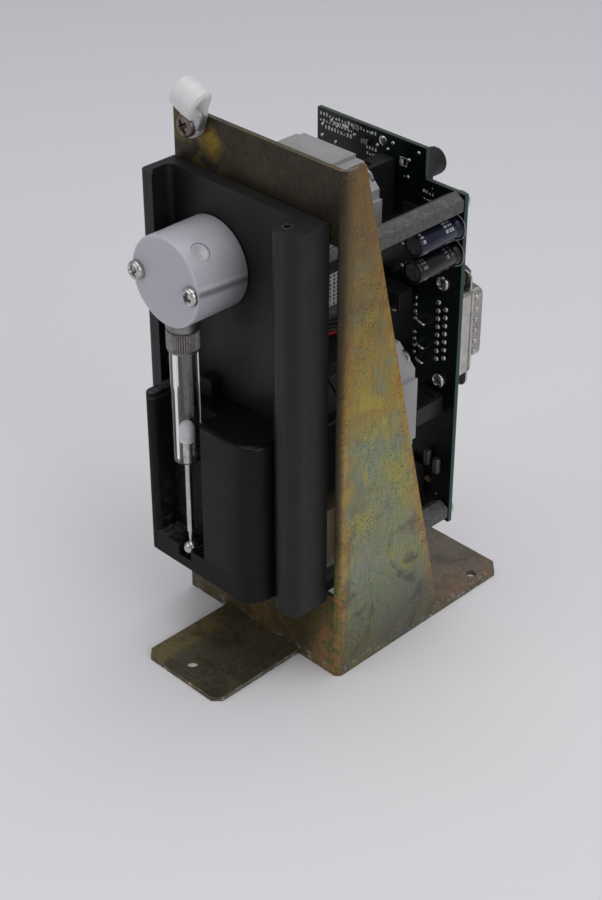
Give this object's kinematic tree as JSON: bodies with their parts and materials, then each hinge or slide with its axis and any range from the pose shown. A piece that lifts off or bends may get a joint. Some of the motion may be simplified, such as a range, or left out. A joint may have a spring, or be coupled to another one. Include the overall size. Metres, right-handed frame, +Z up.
{
  "type": "syringe pump",
  "caption": "Syringe pump module: bent sheet bracket, extruded frame, sliding plunger carriage, small glass syringe, rotary valve, stepper motors and a rear control board.",
  "frame": {"origin": "middle of the footprint's bounding box, on the underside of the bracket's base", "axes": "+Z up along the syringe and the carriage's travel, +Y towards the control board at the back, +X towards the bracket's side gusset; the valve and syringe face -Y"},
  "size_m": [0.0662, 0.1124, 0.1797],
  "materials": {
    "zinc_plate": "yellow chromate on zinc-plated sheet steel, iridescent, satin, worn at its edges",
    "black_anodised": "black anodised extrusion, satin, lightly scratched",
    "black_moulding": "black moulded plastic, semi-gloss, lightly worn",
    "milky_plastic": "milky translucent machined plastic, smooth",
    "white_ptfe": "white turned plastic",
    "nylon": "natural nylon, satin",
    "bright_steel": "bare turned steel, bright",
    "dark_screw": "dull plated screw, brownish",
    "clear_glass": "clear glass, polished",
    "bell_casting": "light grey die casting, matt",
    "motor_stack": "black painted steel laminations, satin",
    "bare_aluminium": "machined aluminium, satin",
    "board_green": "dark green solder mask on glass-epoxy laminate",
    "sleeve_navy": "navy plastic sleeve over an aluminium can",
    "sleeve_black": "black plastic sleeve over an aluminium can",
    "black_component": "black moulded component body, matt",
    "tin_plate": "tin-plated pressed steel, satin",
    "brass": "machined brass, satin",
    "lead_red": "insulated leads, red at the edge of the strip",
    "lead_green": "insulated leads, green at the edge of the strip"
  },
  "bodies": {
    "chassis": {"mounting_bracket": "zinc_plate", "cable_clip": "nylon", "cable_clip_screw": "dark_screw", "front_frame": "black_anodised", "frame_screw_1": "bright_steel", "frame_screw_2": "bright_steel", "frame_screw_3": "bright_steel", "frame_screw_4": "bright_steel", "valve_body": "milky_plastic", "port_plug": "milky_plastic", "valve_screw_left": "bright_steel", "valve_screw_right": "bright_steel", "syringe_nut": "bright_steel", "syringe_barrel": "clear_glass", "guide_rail": "black_anodised", "valve_motor_front_bell": "bell_casting", "valve_motor_stack": "motor_stack", "valve_motor_rear_bell": "bell_casting", "drive_motor_front_bell": "bell_casting", "drive_motor_stack": "motor_stack", "drive_motor_rear_bell": "bell_casting", "valve_position_sensor": "black_component", "lower_mount_block": "bare_aluminium", "circuit_board": "board_green", "standoff_upper_right": "bare_aluminium", "board_screw_upper_right": "bright_steel", "standoff_lower_right": "bare_aluminium", "board_screw_lower_right": "bright_steel", "standoff_upper_left": "bare_aluminium", "board_screw_upper_left": "bright_steel", "standoff_lower_left": "bare_aluminium", "board_screw_lower_left": "bright_steel", "capacitor_upper": "sleeve_navy", "capacitor_lower": "sleeve_black", "terminal_block": "black_component", "processor_chip": "black_component", "driver_chip": "black_component", "valve_motor_header": "black_component", "drive_motor_header": "black_component", "valve_motor_leads": "lead_red", "drive_motor_leads": "lead_green", "connector_body": "black_component", "connector_shell": "tin_plate", "connector_bracket_upper": "tin_plate", "connector_bracket_lower": "tin_plate", "jack_post_upper": "bright_steel", "jack_post_lower": "bright_steel", "address_switch_body": "black_component"},
    "carriage": {"carriage": "black_moulding", "guide_block": "black_anodised", "carriage_rack": "brass", "plunger_rod": "bright_steel", "plunger_tip": "white_ptfe"},
    "drive_rotor": {"drive_motor_rotor": "bright_steel", "drive_pinion": "brass"},
    "valve_rotor": {"valve_motor_rotor": "bright_steel", "valve_plug": "white_ptfe", "valve_flag_disc": "black_moulding"},
    "address_knob": {"address_switch_knob": "black_component"}
  },
  "joints": [
    {"name": "carriage_lift", "type": "slide", "parent": "chassis", "child": "carriage", "axis": [0, 0, 1], "range_m": [0, 0.03]},
    {"name": "drive_spin", "type": "hinge", "parent": "chassis", "child": "drive_rotor", "pos_m": [0.00435, -0.0216, 0.076], "axis": [0, 1, 0], "range_deg": [-376, 2]},
    {"name": "valve_turn", "type": "hinge", "parent": "chassis", "child": "valve_rotor", "pos_m": [-0.01185, -0.0216, 0.1285], "axis": [0, 1, 0], "continuous": true},
    {"name": "address_knob_turn", "type": "hinge", "parent": "chassis", "child": "address_knob", "pos_m": [0.00665, 0.0414, 0.1422], "axis": [0, 1, 0], "continuous": true}
  ],
  "couplings": [
    {"joint": "drive_spin", "follows": "carriage_lift", "rad_per_m": -217.39}
  ]
}
